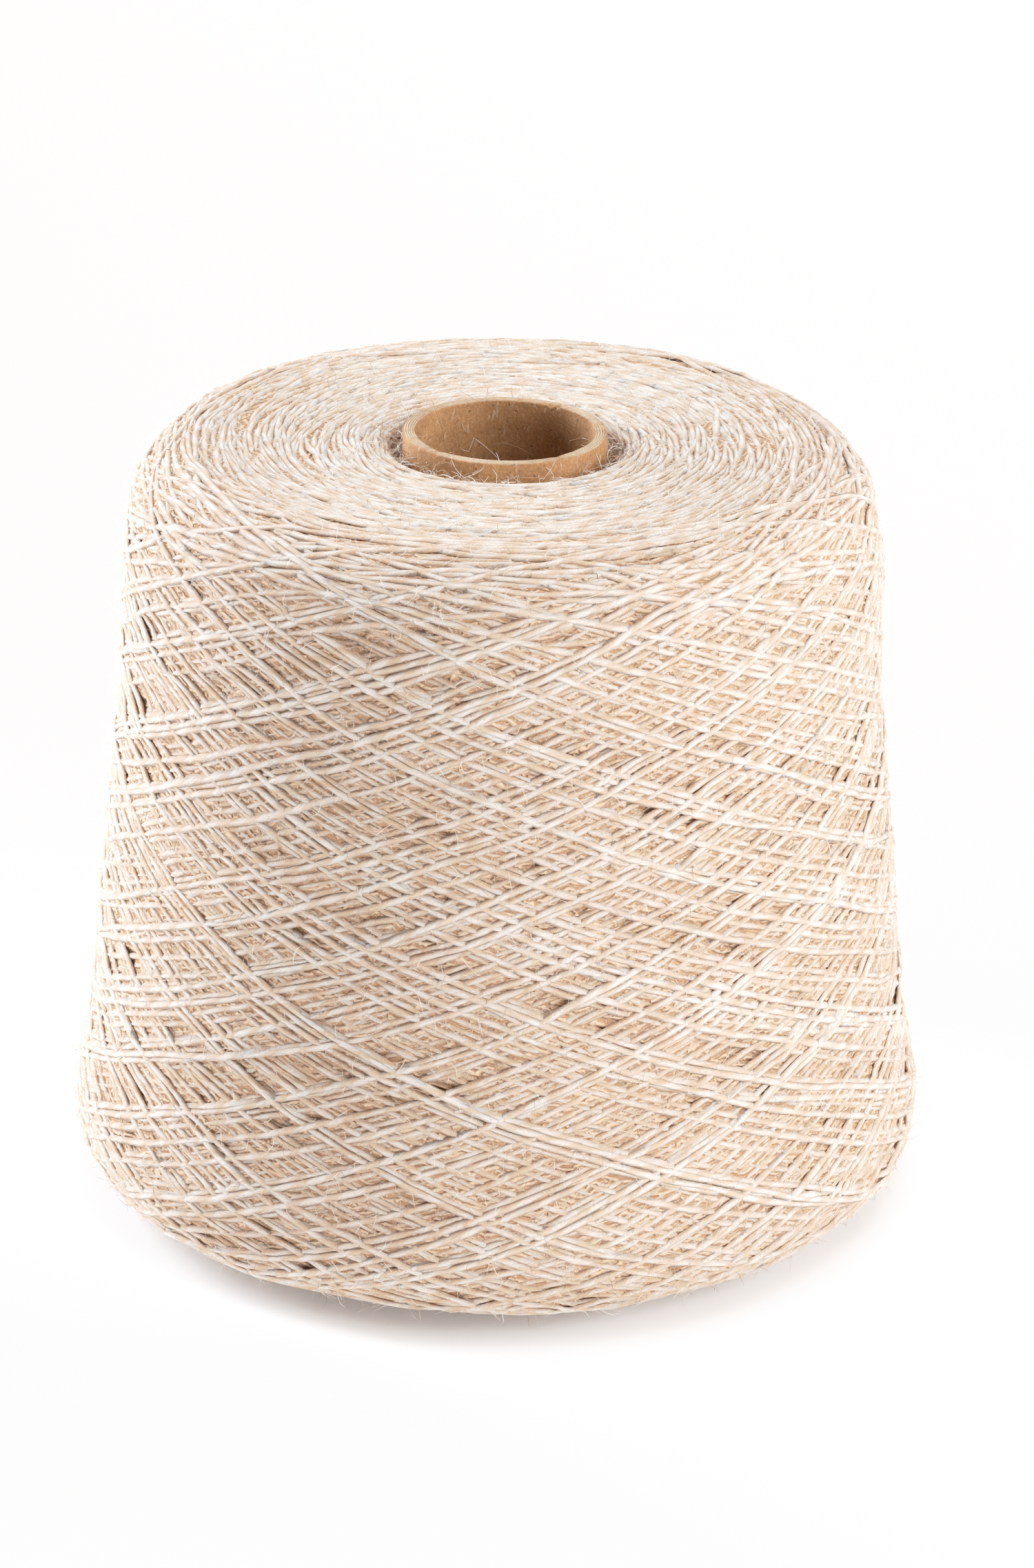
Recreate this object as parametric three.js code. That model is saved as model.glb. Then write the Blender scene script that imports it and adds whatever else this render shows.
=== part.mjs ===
import * as THREE from 'three';

// A cone of yarn: a tapered paper cone, open at both ends, with one cross-wound body of yarn on it.
// Millimetres, +Z up. The origin is the middle of the ring on which the paper cone stands.

// Paper cone
const CONE_LENGTH = 168;
const NOSE_DIAMETER = 42;
const CONE_HALF_ANGLE = THREE.MathUtils.degToRad(4 + 20 / 60);
const CARD_THICKNESS = 2.4;
const RIM_BEVEL = 0.45;
const CARD_FACES = 80;

// Body of wound yarn
const YARN_BOTTOM = 4.8;
const YARN_TOP = 166.1;
const FOOT_RADIUS = 89.5;
const TOP_RADIUS = 77.1;
const HEEL_FILLET = 10.1;
const SHOULDER_FILLET = 13.3;
const BORE_CLEARANCE = 0.35;

// The trough between the nose of the paper cone and the first turns of yarn, and the hidden underside
const LIP_RADIUS = 26.7;
const LIP_TOP = 165.5;
const LIP_FILLET = 3.4;
const LIP_TURN = THREE.MathUtils.degToRad(168);
const TROUGH_BOTTOM = 157.5;
const UNDERSIDE_AT_BORE = 3.8;

// The traverse turns back at both ends of each stroke, so the winding is fuller there
const FULLER_ENDS = [
  { height: YARN_TOP - 25, reach: 16, depth: 1.5 },
  { height: YARN_BOTTOM + 18, reach: 10, depth: 1.85 },
];

// Slow unevenness of a winding that was pressed in a carton
const SLOW_WAVES = [
  { lobes: 3, turnPerHeight: 0.021, phase: 0.4, depth: 0.3 },
  { lobes: 5, turnPerHeight: -0.034, phase: 2.1, depth: 0.25 },
  { lobes: 2, turnPerHeight: 0.058, phase: 4.0, depth: 0.2 },
];

// Main twists: the strokes cross in diamonds on the side, and lie as rings on the two ends
const DIAMONDS_ROUND = 27;
const COLUMNS = 2 * DIAMONDS_ROUND;
const STRETCHES = {
  heel: { rowPitch: 3.4, crossDepth: 1.0, ringDepth: 0 },
  side: { rowPitch: 3.7, crossDepth: 1.3, ringDepth: 0 },
  shoulder: { rowPitch: 3.5, crossDepth: 0.9, ringDepth: 0.1 },
  topFace: { rowPitch: 4.4, crossDepth: 0.25, ringDepth: 0.45 },
  lip: { rowPitch: 2.4, crossDepth: 0.2, ringDepth: 0.2 },
  trough: { rowPitch: 5, crossDepth: 0, ringDepth: 0 },
  bore: { rowPitch: 40, crossDepth: 0, ringDepth: 0 },
  underside: { rowPitch: 7, crossDepth: 0.2, ringDepth: 0.4 },
};

const conePaper = new THREE.MeshStandardMaterial({ color: 0xa88462, roughness: 0.9, metalness: 0 });
const woundYarn = new THREE.MeshStandardMaterial({ color: 0xd8cab8, roughness: 1, metalness: 0 });

function coneRadiusAt(height) {
  return NOSE_DIAMETER / 2 + (CONE_LENGTH - height) * Math.tan(CONE_HALF_ANGLE);
}

// A closed outline in the plane of radius and height, turned about Z
function turned(outline, faces) {
  const points = outline.map(([radius, height]) => new THREE.Vector2(radius, height));
  points.push(points[0].clone());
  return new THREE.LatheGeometry(points, faces).rotateX(Math.PI / 2);
}

function paperConeGeometry() {
  const wall = CARD_THICKNESS / Math.cos(CONE_HALF_ANGLE);
  const foot = coneRadiusAt(0);
  const nose = coneRadiusAt(CONE_LENGTH);
  const outline = [
    [foot - RIM_BEVEL, 0],
    [coneRadiusAt(RIM_BEVEL), RIM_BEVEL],
    [coneRadiusAt(CONE_LENGTH - RIM_BEVEL), CONE_LENGTH - RIM_BEVEL],
    [nose - RIM_BEVEL, CONE_LENGTH],
    [nose - wall + RIM_BEVEL, CONE_LENGTH],
    [coneRadiusAt(CONE_LENGTH - RIM_BEVEL) - wall, CONE_LENGTH - RIM_BEVEL],
    [coneRadiusAt(RIM_BEVEL) - wall, RIM_BEVEL],
    [foot - wall + RIM_BEVEL, 0],
  ];
  return turned(outline, CARD_FACES);
}

// The outline of the winding, stretch by stretch, counterclockwise from the underside's outer end
function windingOutline() {
  const taper = Math.atan2(FOOT_RADIUS - TOP_RADIUS, YARN_TOP - YARN_BOTTOM);
  const heelCentre = { radius: FOOT_RADIUS - HEEL_FILLET, height: YARN_BOTTOM + HEEL_FILLET };
  const shoulderCentre = { radius: TOP_RADIUS - SHOULDER_FILLET, height: YARN_TOP - SHOULDER_FILLET };
  const lipCentre = { radius: LIP_RADIUS, height: LIP_TOP - LIP_FILLET };

  const line = (from, to) => new THREE.LineCurve(from, to);
  const arc = (centre, fillet, start, end) =>
    new THREE.EllipseCurve(centre.radius, centre.height, fillet, fillet, start, end);

  const heel = arc(heelCentre, HEEL_FILLET, -Math.PI / 2, taper);
  const shoulder = arc(shoulderCentre, SHOULDER_FILLET, taper, Math.PI / 2);
  const lip = arc(lipCentre, LIP_FILLET, Math.PI / 2, LIP_TURN);
  const boreTop = new THREE.Vector2(coneRadiusAt(TROUGH_BOTTOM) + BORE_CLEARANCE, TROUGH_BOTTOM);
  const boreFoot = new THREE.Vector2(
    coneRadiusAt(UNDERSIDE_AT_BORE) + BORE_CLEARANCE,
    UNDERSIDE_AT_BORE,
  );
  return [
    { name: 'heel', curve: heel },
    { name: 'side', curve: line(heel.getPoint(1), shoulder.getPoint(0)) },
    { name: 'shoulder', curve: shoulder },
    { name: 'topFace', curve: line(shoulder.getPoint(1), lip.getPoint(0)) },
    { name: 'lip', curve: lip },
    { name: 'trough', curve: line(lip.getPoint(1), boreTop) },
    { name: 'bore', curve: line(boreTop, boreFoot) },
    { name: 'underside', curve: line(boreFoot, heel.getPoint(0)) },
  ];
}

function fullerBy(height) {
  return FULLER_ENDS.reduce((sum, end) => {
    const away = (height - end.height) / end.reach;
    return sum + end.depth * Math.exp(-away * away);
  }, 0);
}

function unevenBy(turn, height) {
  return SLOW_WAVES.reduce((sum, wave) => {
    const angle = wave.lobes * turn + wave.turnPerHeight * height + wave.phase;
    return sum + wave.depth * Math.sin(angle);
  }, 0);
}

// Rows of points on the outline, each with its outward normal and how deep its furrows are
function windingRows() {
  const rows = [];
  for (const { name, curve } of windingOutline()) {
    const { rowPitch, crossDepth, ringDepth } = STRETCHES[name];
    const steps = Math.max(1, Math.round(curve.getLength() / rowPitch));
    for (let step = 0; step < steps; step += 1) {
      const at = step / steps;
      const point = curve.getPointAt(at);
      const along = curve.getTangentAt(at);
      const normal = new THREE.Vector2(along.y, -along.x);
      const outside = name === 'heel' || name === 'side' || name === 'shoulder';
      rows.push({ point, normal, crossDepth, ringDepth, outside });
    }
  }
  return rows;
}

// Every other point of the net is sunk, and each face is split between the two that stand,
// so the ridges run along the strokes of both hands
function woundBodyGeometry() {
  const rows = windingRows();
  const positions = [];
  const faces = [];
  rows.forEach(({ point, normal, crossDepth, ringDepth, outside }, row) => {
    const sunkRing = row % 2 === 0 ? ringDepth : 0;
    for (let column = 0; column < COLUMNS; column += 1) {
      const turn = (column / COLUMNS) * 2 * Math.PI;
      const sunk = (row + column) % 2 === 0 ? crossDepth : 0;
      const swell = outside ? fullerBy(point.y) + unevenBy(turn, point.y) * Math.max(0, normal.x) : 0;
      const radius = point.x + swell - normal.x * (sunk + sunkRing);
      const height = point.y - normal.y * (sunk + sunkRing);
      positions.push(radius * Math.cos(turn), radius * Math.sin(turn), height);
    }
  });
  rows.forEach((_, row) => {
    const rowAbove = (row + 1) % rows.length;
    for (let column = 0; column < COLUMNS; column += 1) {
      const next = (column + 1) % COLUMNS;
      const a = row * COLUMNS + column;
      const b = row * COLUMNS + next;
      const c = rowAbove * COLUMNS + next;
      const d = rowAbove * COLUMNS + column;
      if ((row + column) % 2 === 0) {
        faces.push(a, b, d, b, c, d);
      } else {
        faces.push(a, b, c, a, c, d);
      }
    }
  });
  const geometry = new THREE.BufferGeometry();
  geometry.setAttribute('position', new THREE.Float32BufferAttribute(positions, 3));
  geometry.setIndex(faces);
  geometry.computeVertexNormals();
  return geometry;
}

const paperCone = new THREE.Mesh(paperConeGeometry(), conePaper);
paperCone.name = 'paper_cone';

const yarnWinding = new THREE.Mesh(woundBodyGeometry(), woundYarn);
yarnWinding.name = 'yarn_winding';

const coneOfYarn = new THREE.Group();
coneOfYarn.name = 'cone_of_yarn';
coneOfYarn.add(paperCone, yarnWinding);

export default coneOfYarn;
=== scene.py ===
import math

import bpy
import numpy as np
from mathutils import Matrix, Vector


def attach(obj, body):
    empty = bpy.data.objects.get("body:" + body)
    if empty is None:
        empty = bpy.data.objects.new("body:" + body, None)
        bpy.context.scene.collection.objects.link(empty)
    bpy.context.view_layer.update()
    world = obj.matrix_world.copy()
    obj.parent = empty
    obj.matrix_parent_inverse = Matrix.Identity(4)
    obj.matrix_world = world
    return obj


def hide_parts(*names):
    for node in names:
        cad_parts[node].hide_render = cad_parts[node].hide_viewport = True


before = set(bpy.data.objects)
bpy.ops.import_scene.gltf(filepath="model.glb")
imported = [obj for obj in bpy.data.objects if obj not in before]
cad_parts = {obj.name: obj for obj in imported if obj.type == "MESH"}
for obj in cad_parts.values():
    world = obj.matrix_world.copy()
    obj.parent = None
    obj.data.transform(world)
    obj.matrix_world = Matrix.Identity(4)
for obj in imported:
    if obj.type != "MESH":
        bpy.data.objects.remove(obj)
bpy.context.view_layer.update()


# The paper cone. The real one is kraft card wound on a steel former in glued plies, cut square at both ends
# and left bare. It stands on its wide end, and the yarn was wound straight onto it.
CONE_LENGTH = 0.168
NOSE_RADIUS = 0.021
HALF_ANGLE = math.radians(4 + 20 / 60)
CARD_THICKNESS = 0.0024
CARD_PLIES = 5
CARD_FACES = 240
RIM_REACH = 0.0025
PLY_GROOVE, PLIES_SET_BACK, EDGE_WEAR = 0.00016, 0.00022, 0.00035
CHIPS, CHIP_DEPTH, TEAR_DEPTH, RIM_WAVE = 34, 0.00018, 0.0009, 0.00006
TEAR_AT = math.radians(58)
CARD_TAN = (0.52, 0.28, 0.13, 1)
CARD_DARK = (0.25, 0.12, 0.05, 1)
CARD_CUT = (0.62, 0.49, 0.37, 1)
FLECK_DARK = (0.12, 0.07, 0.04, 1)


class Value:
    """An output socket. Python's operators on it add Math nodes to its finish."""

    def __init__(self, finish, socket):
        self.finish, self.socket = finish, socket

    def __add__(self, other):
        return self.finish.math("ADD", self, other)

    def __radd__(self, other):
        return self.finish.math("ADD", other, self)

    def __sub__(self, other):
        return self.finish.math("SUBTRACT", self, other)

    def __rsub__(self, other):
        return self.finish.math("SUBTRACT", other, self)

    def __mul__(self, other):
        return self.finish.math("MULTIPLY", self, other)

    def __rmul__(self, other):
        return self.finish.math("MULTIPLY", other, self)

    def between(self, low, high):
        """0 below low, 1 above high, and smooth between them."""
        return self.finish.node(
            "ShaderNodeMapRange",
            {"interpolation_type": "SMOOTHSTEP"},
            {"Value": self, "From Min": low, "From Max": high},
        )


class Finish:
    """A material with one Principled shader, whose nodes are all added by node()."""

    def __init__(self, name, roughness, **fixed):
        self.material = bpy.data.materials.new(name)
        self.material.use_nodes = True
        self.tree = self.material.node_tree
        self.tree.nodes.clear()
        self.shader = self.tree.nodes.new("ShaderNodeBsdfPrincipled")
        self.shader.inputs["Roughness"].default_value = roughness
        for socket, value in fixed.items():
            self.shader.inputs[socket.replace("_", " ")].default_value = value
        output = self.tree.nodes.new("ShaderNodeOutputMaterial")
        self.tree.links.new(self.shader.outputs[0], output.inputs["Surface"])

    def node(self, kind, settings=None, inputs=None, output=0):
        made = self.tree.nodes.new(kind)
        for name, value in (settings or {}).items():
            setattr(made, name, value)
        for key, value in (inputs or {}).items():
            if isinstance(value, Value):
                self.tree.links.new(value.socket, made.inputs[key])
            else:
                made.inputs[key].default_value = value
        return Value(self, made.outputs[output])

    def math(self, operation, *values):
        return self.node("ShaderNodeMath", {"operation": operation}, dict(enumerate(values)))

    def mix(self, share, first, second):
        """A colour between two, by a share."""
        return self.node("ShaderNodeMix", {"data_type": "RGBA"}, {0: share, 6: first, 7: second}, 2)

    def noise(self, vector, scale, detail=2.0, roughness=0.5):
        inputs = {"Vector": vector, "Scale": scale, "Detail": detail, "Roughness": roughness}
        return self.node("ShaderNodeTexNoise", {}, inputs)

    def stretched(self, vector, factors):
        return self.node("ShaderNodeVectorMath", {"operation": "MULTIPLY"}, {0: vector, 1: factors})

    def bump(self, height, depth, strength=1.0):
        inputs = {"Height": height, "Distance": depth, "Strength": strength}
        return self.node("ShaderNodeBump", {}, inputs)

    def feed(self, socket, value):
        self.tree.links.new(value.socket, self.shader.inputs[socket])


def card_finish():
    """Brown kraft card: cloudy, with short dark and pale fibres, and paler where it is cut."""
    card = Finish("kraft card", 0.82, Specular_IOR_Level=0.25)
    place = card.node("ShaderNodeTexCoord", {}, {}, 3)
    height = card.node("ShaderNodeSeparateXYZ", {}, {0: place}, 2)
    clouds = card.noise(place, 90, 4, 0.6)
    grain = card.noise(place, 1500, 3, 0.7)
    fibres = card.noise(card.stretched(place, (1, 1, 0.3)), 900, 2, 0.6)
    specks = card.noise(place, 2300, 2, 0.8)
    flecks = card.noise(place, 1100, 1)
    x, y = (card.node("ShaderNodeSeparateXYZ", {}, {0: place}, axis) for axis in range(2))
    radius = card.math("SQRT", x * x + y * y)
    seam = 1.0 - card.math("ABSOLUTE", card.math("SINE", radius * (math.pi * CARD_PLIES / CARD_THICKNESS)))
    cut = height.between(CONE_LENGTH - 0.0004, CONE_LENGTH - 0.00005)
    tone = (clouds * 0.6 + grain * 0.55 - 0.1).between(0.2, 0.75)
    colour = card.mix(tone, CARD_DARK, CARD_TAN)
    colour = card.mix(fibres.between(0.60, 0.74) * 0.5, colour, CARD_CUT)
    colour = card.mix(specks.between(0.50, 0.68) * 0.5, colour, CARD_DARK)
    colour = card.mix(flecks.between(0.69, 0.74) * 0.8, colour, FLECK_DARK)
    colour = card.mix(cut * (0.6 + 0.9 * (grain - 0.5)), colour, CARD_CUT)
    colour = card.mix(cut * seam.between(0.55, 0.95) * 0.6, colour, CARD_DARK)
    card.feed("Base Color", colour)
    card.feed("Normal", card.bump(grain + fibres * 0.7 + clouds, 0.0001))
    return card.material


def wall_radius(height):
    return NOSE_RADIUS + (CONE_LENGTH - height) * math.tan(HALF_ANGLE)


def paper_cone():
    """The card wall as a closed turned mesh, a little out of round, with a worn and torn rim."""
    draw = np.random.default_rng(7)
    wall = CARD_THICKNESS / math.cos(HALF_ANGLE)
    # Across the rim from outside to inside, in shares of the wall, each ply end stands a little apart
    rim_steps = 4 * CARD_PLIES
    across = np.linspace(0, 1, rim_steps + 1)[1:-1]
    ply_groove = PLY_GROOVE * np.abs(np.sin(across * CARD_PLIES * math.pi)) - PLIES_SET_BACK
    worn = EDGE_WEAR * (np.exp(-across / 0.08) + 0.8 * np.exp(-(1 - across) / 0.08))
    outside = [(0.0, height) for height in np.linspace(0.0006, CONE_LENGTH - 0.0006, 24)]
    rim = [(share, CONE_LENGTH + groove - wear) for share, groove, wear in zip(across, ply_groove, worn)]
    inside = [(1.0, height) for height in np.linspace(CONE_LENGTH - 0.0006, 0.0006, 24)]
    foot = [(0.82, 0.0), (0.18, 0.0)]
    outline = np.array(outside + rim + inside + foot)
    turn = np.linspace(0, 2 * math.pi, CARD_FACES, endpoint=False)
    share, height = outline[:, :1], outline[:, 1:]
    rim_mask = np.clip((height - CONE_LENGTH + RIM_REACH) / RIM_REACH, 0, 1)

    # Wear of the rim: slow waves all round, small chips, and one torn place inside at the back
    chips = np.zeros(CARD_FACES)
    for _ in range(CHIPS):
        middle, width, depth = draw.uniform(0, 2 * math.pi), draw.uniform(0.01, 0.05), draw.uniform(0, 1)
        away = np.angle(np.exp(1j * (turn - middle)))
        chips += depth**2 * np.exp(-((away / width) ** 2))
    torn = np.exp(-((np.angle(np.exp(1j * (turn - TEAR_AT))) / 0.13) ** 2))
    torn = torn * (0.6 + 0.4 * np.sin(turn * 61)) * np.clip(share * 1.6 - 0.6, 0, 1)
    radius = wall_radius(height) - wall * share + 0.00012 * np.sin(2 * turn + 0.7)
    radius = radius + rim_mask * 0.00008 * np.sin(9 * turn + 5 * share)
    lowered = rim_mask * (CHIP_DEPTH * chips + TEAR_DEPTH * torn + RIM_WAVE * np.sin(5 * turn + 1))
    z = np.maximum(height - lowered, 0)
    points = np.stack([radius * np.cos(turn), radius * np.sin(turn), z + 0 * turn], -1).reshape(-1, 3)
    count = len(outline)
    faces = []
    for row in range(count):
        above = (row + 1) % count
        for face in range(CARD_FACES):
            after = (face + 1) % CARD_FACES
            a, b = row * CARD_FACES + face, row * CARD_FACES + after
            c, d = above * CARD_FACES + after, above * CARD_FACES + face
            faces.append((a, b, c, d))
    mesh = bpy.data.meshes.new("kraft_cone")
    mesh.from_pydata(points.tolist(), [], faces)
    mesh.materials.append(card_finish())
    mesh.polygons.foreach_set("use_smooth", np.ones(len(faces), bool))
    cone = bpy.data.objects.new("kraft_cone", mesh)
    bpy.context.collection.objects.link(cone)
    return cone


kraft_cone = paper_cone()
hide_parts("paper_cone")
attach(kraft_cone, "root")


# The yarn. It is soft two-ply yarn, one ply cream and one light tan, drawn onto the turning cone by a
# traverse that crosses from end to end, so its strokes cross in diamonds and turn back as rings on the
# two ends.
YARN_THICKNESS = 0.00168
FLATTENED = 0.76
PLY_PITCH = 0.0082
YARN_BOTTOM, YARN_TOP = 0.0048, 0.1661
FOOT_RADIUS, TOP_RADIUS = 0.0895, 0.0771
HEEL_FILLET, SHOULDER_FILLET = 0.0101, 0.0133
LIP_RADIUS, LIP_TOP, LIP_FILLET = 0.0267, 0.1655, 0.0034
TROUGH_BOTTOM = 0.1575
UNDERSIDE_AT_BORE = 0.0038
BORE_CLEARANCE = 0.0003
FULLER_ENDS = ((YARN_TOP - 0.025, 0.016, 0.0015), (YARN_BOTTOM + 0.018, 0.010, 0.00185))
FULLER_FROM_RADIUS, FULLER_EASE = 0.064, 0.008

# The winding is worked out as heights over a net of cells: rows along its outline, columns round its axis
CELL = 0.0004
COLUMNS = 1344
COLUMN_ANGLE = 2 * math.pi / COLUMNS
SEED = 20


def outline_of_winding():
    """Reach along the outline from the trough at the nose, with radius, height and outward normal there."""
    taper = math.atan2(FOOT_RADIUS - TOP_RADIUS, YARN_TOP - YARN_BOTTOM)
    corners = [(wall_radius(TROUGH_BOTTOM) + BORE_CLEARANCE, TROUGH_BOTTOM)]

    def arc(radius, height, fillet, start, end):
        for angle in np.linspace(start, end, 60):
            corners.append((radius + fillet * math.cos(angle), height + fillet * math.sin(angle)))

    arc(LIP_RADIUS, LIP_TOP - LIP_FILLET, LIP_FILLET, math.radians(168), math.pi / 2)
    arc(TOP_RADIUS - SHOULDER_FILLET, YARN_TOP - SHOULDER_FILLET, SHOULDER_FILLET, math.pi / 2, taper)
    arc(FOOT_RADIUS - HEEL_FILLET, YARN_BOTTOM + HEEL_FILLET, HEEL_FILLET, taper, -math.pi / 2)
    corners.append((wall_radius(UNDERSIDE_AT_BORE) + BORE_CLEARANCE, UNDERSIDE_AT_BORE))
    radius, height = np.array(corners).T
    walked = np.r_[0, np.cumsum(np.hypot(np.diff(radius), np.diff(height)))]
    reach = np.arange(0, walked[-1], CELL)
    radius, height = np.interp(reach, walked, radius), np.interp(reach, walked, height)
    outer = np.clip((radius - FULLER_FROM_RADIUS) / FULLER_EASE, 0, 1)
    for middle, spread, depth in FULLER_ENDS:
        radius = radius + outer * depth * np.exp(-(((height - middle) / spread) ** 2))
    along_r, along_z = np.gradient(radius), np.gradient(height)
    length = np.hypot(along_r, along_z)
    normal_r, normal_z = -along_z / length, along_r / length
    blur = np.hanning(13) / np.hanning(13).sum()
    normal_r, normal_z = (np.convolve(np.pad(n, 6, "edge"), blur, "valid") for n in (normal_r, normal_z))
    return reach, radius, height, normal_r, normal_z


REACH, RADIUS, HEIGHT, NORMAL_R, NORMAL_Z = outline_of_winding()
ROWS = len(REACH)

# The strokes of the traverse, and the shorter turns that show on the two ends. Each length of yarn is laid
# over what is wound so far, as on the machine: pressed in a little, pulled tight, and slipping off ridges.
DOUBLE_STROKES = 250
TURNS_OUT_AND_BACK, TURNS_DRIFT, TURNS_JITTER = 1.8835, -0.00004, 0.0022
TOP_TURNBACK, FOOT_TURNBACK = (0.0550, 0.0052, 0.040, 0.067), (0.2185, 0.005, 0.206, 0.233)
SLOWING_AT_TOP, SLOWING_AT_FOOT = 0.25, 0.17
SWAY, SWAYS_IN_A_STROKE = 0.00022, 26
TOP_TURNS, TOP_TURNS_BETWEEN, TOP_TILT = 1150, (0.002, 0.058), 0.11
FOOT_TURNS, FOOT_TURNS_BETWEEN, FOOT_TILT = 700, (REACH[-1] - 0.052, REACH[-1] - 0.002), 0.10
HALF_LENGTH_OF_END_TURN = 0.026
HALF, HALF_HEIGHT = YARN_THICKNESS / 2, FLATTENED * YARN_THICKNESS / 2
PRESSED_IN = 0.00052
TAUTNESS = 0.45
BOW_RADIUS = 0.06
SLIPS = np.array([-0.0010, -0.0005, 0.0, 0.0005, 0.0010])
SLIP_EASE = 0.011
SLIP_COST, SLIP_SOFTNESS = 0.0002, 0.00012
SLIPS_IF_LONGER_THAN = 200
JOIN_EASE = 24
FOOTPRINT = np.arange(-3, 4)
heights = np.zeros((ROWS, COLUMNS))
lengths_laid = []


def at_reach(values, course):
    return np.interp(course, REACH, values)


def evened(values, half_window):
    """A running mean with soft ends to its window."""
    window = np.hanning(2 * max(2, half_window) + 1)[1:-1]
    return np.convolve(np.pad(values, len(window) // 2, "edge"), window / window.sum(), "valid")


def contact(columns, course, lean):
    """The cells under a length of yarn, the round of its section over them, and the height it touches."""
    rows = np.floor(course / CELL).astype(int)[:, None] + FOOTPRINT
    across = (rows * CELL - course[:, None]) * lean[:, None]
    inside = (np.abs(across) < HALF) & (rows >= 0) & (rows < ROWS)
    cap = FLATTENED * np.sqrt(np.clip(HALF**2 - across**2, 0, None))
    rows = np.clip(rows, 0, ROWS - 1)
    under = heights[rows, columns[:, None]]
    return rows, inside, cap, under, np.where(inside, under + cap, -1.0).max(1)


def slipped(columns, course, lean, spacing):
    """Yarn slips off the ridges into the lower course beside it, a little and over some length."""
    reach = max(3, round(SLIP_EASE / spacing))
    rise = []
    for slip in SLIPS:
        touch = contact(columns, np.clip(course + slip, 0, REACH[-1]), lean)[4]
        rise.append(evened(touch, reach) + SLIP_COST * (slip / SLIPS[-1]) ** 2)
    rise = np.array(rise)
    ease = np.exp((rise.min(0) - rise) / SLIP_SOFTNESS)
    slip = evened((ease * SLIPS[:, None]).sum(0) / ease.sum(0), reach)
    ends = np.arange(len(course))
    return np.clip(course + slip * np.clip(np.minimum(ends, ends[::-1]) / 40, 0, 1), 0, REACH[-1])


def pulled_tight(touch, spacing):
    """Taut yarn lies on the highest of what is under it, and bridges the rest in a slight bow."""
    height = touch.copy()
    for span in (0.008, 0.004, 0.002, 0.001):
        step = max(1, round(span / spacing))
        if 2 * step >= len(height):
            continue
        bow = (step * spacing) ** 2 / (2 * BOW_RADIUS)
        for _ in range(2):
            chord = (height[: -2 * step] + height[2 * step :]) / 2 - bow
            np.maximum(height[step:-step], chord, out=height[step:-step])
    return evened(touch + TAUTNESS * (height - touch), round(0.0014 / spacing))


def lay(first_column, course, sunk=0.0, joined=None):
    """Lays a length of yarn on what is wound so far, one point to each column, and returns its heights."""
    columns = (first_column + np.arange(len(course))) % COLUMNS
    spacing = COLUMN_ANGLE * at_reach(RADIUS, course)
    lean = 1 / np.hypot(1, np.gradient(course) / spacing)
    step = float(np.mean(spacing / lean))
    if len(course) > SLIPS_IF_LONGER_THAN:
        course = slipped(columns, course, lean, step)
        lean = 1 / np.hypot(1, np.gradient(course) / spacing)
    rows, inside, cap, under, touch = contact(columns, course, lean)
    centre = pulled_tight(touch - PRESSED_IN, step) - sunk
    if joined is not None:
        ease = np.clip(np.arange(len(course)) / JOIN_EASE, 0, 1)
        ease = ease * ease * (3 - 2 * ease)
        centre = joined * (1 - ease) + centre * ease
    heights[rows, columns[:, None]] = np.where(inside, np.maximum(under, centre[:, None] + cap), under)
    lengths_laid.append((columns, course, centre, lean))
    return centre


def between(draw, middle, spread, low, high):
    return float(np.clip(draw.normal(middle, spread), low, high))


def wind_strokes(draw, double_strokes):
    """The traverse's strokes, end to end and back, as one unbroken length."""
    column, last = 0, None
    start = between(draw, *TOP_TURNBACK)
    for stroke in range(2 * double_strokes):
        end = between(draw, *(TOP_TURNBACK if stroke % 2 else FOOT_TURNBACK))
        turns = TURNS_OUT_AND_BACK + TURNS_DRIFT * stroke + draw.normal(0, TURNS_JITTER)
        count = round(turns / 2 * COLUMNS)
        along = np.linspace(0, 1, count)
        slow_at = (SLOWING_AT_FOOT, SLOWING_AT_TOP) if stroke % 2 else (SLOWING_AT_TOP, SLOWING_AT_FOOT)
        ramp = np.minimum(np.clip(along / slow_at[0], 0, 1), np.clip((1 - along) / slow_at[1], 0, 1))
        speed = np.sin(ramp * math.pi / 2) ** 1.5
        travelled = np.cumsum(speed) / speed.sum()
        course = start + (end - start) * travelled
        sway = draw.normal(0, SWAY, SWAYS_IN_A_STROKE)
        course = course + np.interp(along, np.linspace(0, 1, SWAYS_IN_A_STROKE), sway) * speed
        last = lay(column, course, joined=last)[-1]
        column, start = (column + count - 1) % COLUMNS, end


def wind_end(draw, count, low, high, tilt):
    """Turns that show on an end of the winding. Each comes up to the end, runs round it and dives again."""
    middles = draw.uniform(low, high, 4 * count)
    radii = at_reach(RADIUS, middles)
    middles = middles[draw.uniform(0, radii.max(), 4 * count) < radii][:count]
    order = np.argsort(middles + draw.normal(0, 0.005, len(middles)))
    outwards = order if low < 0.1 else order[::-1]
    for middle in middles[outwards]:
        radius = float(at_reach(RADIUS, middle))
        half_count = round(HALF_LENGTH_OF_END_TURN / (radius * COLUMN_ANGLE))
        along = np.arange(-half_count, half_count + 1) * radius * COLUMN_ANGLE
        dive = draw.uniform(0.05, 0.11)
        course = middle + draw.normal(0, tilt) * along + draw.normal(0, 1.2) * along**2
        lay(int(draw.integers(COLUMNS)), np.clip(course, 0, REACH[-1]), sunk=along**2 / (2 * dive))


winder = np.random.default_rng(SEED)
wind_end(winder, TOP_TURNS, *TOP_TURNS_BETWEEN, TOP_TILT)
wind_end(winder, FOOT_TURNS, *FOOT_TURNS_BETWEEN, FOOT_TILT)
wind_strokes(np.random.default_rng(SEED + 3), DOUBLE_STROKES)


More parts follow.
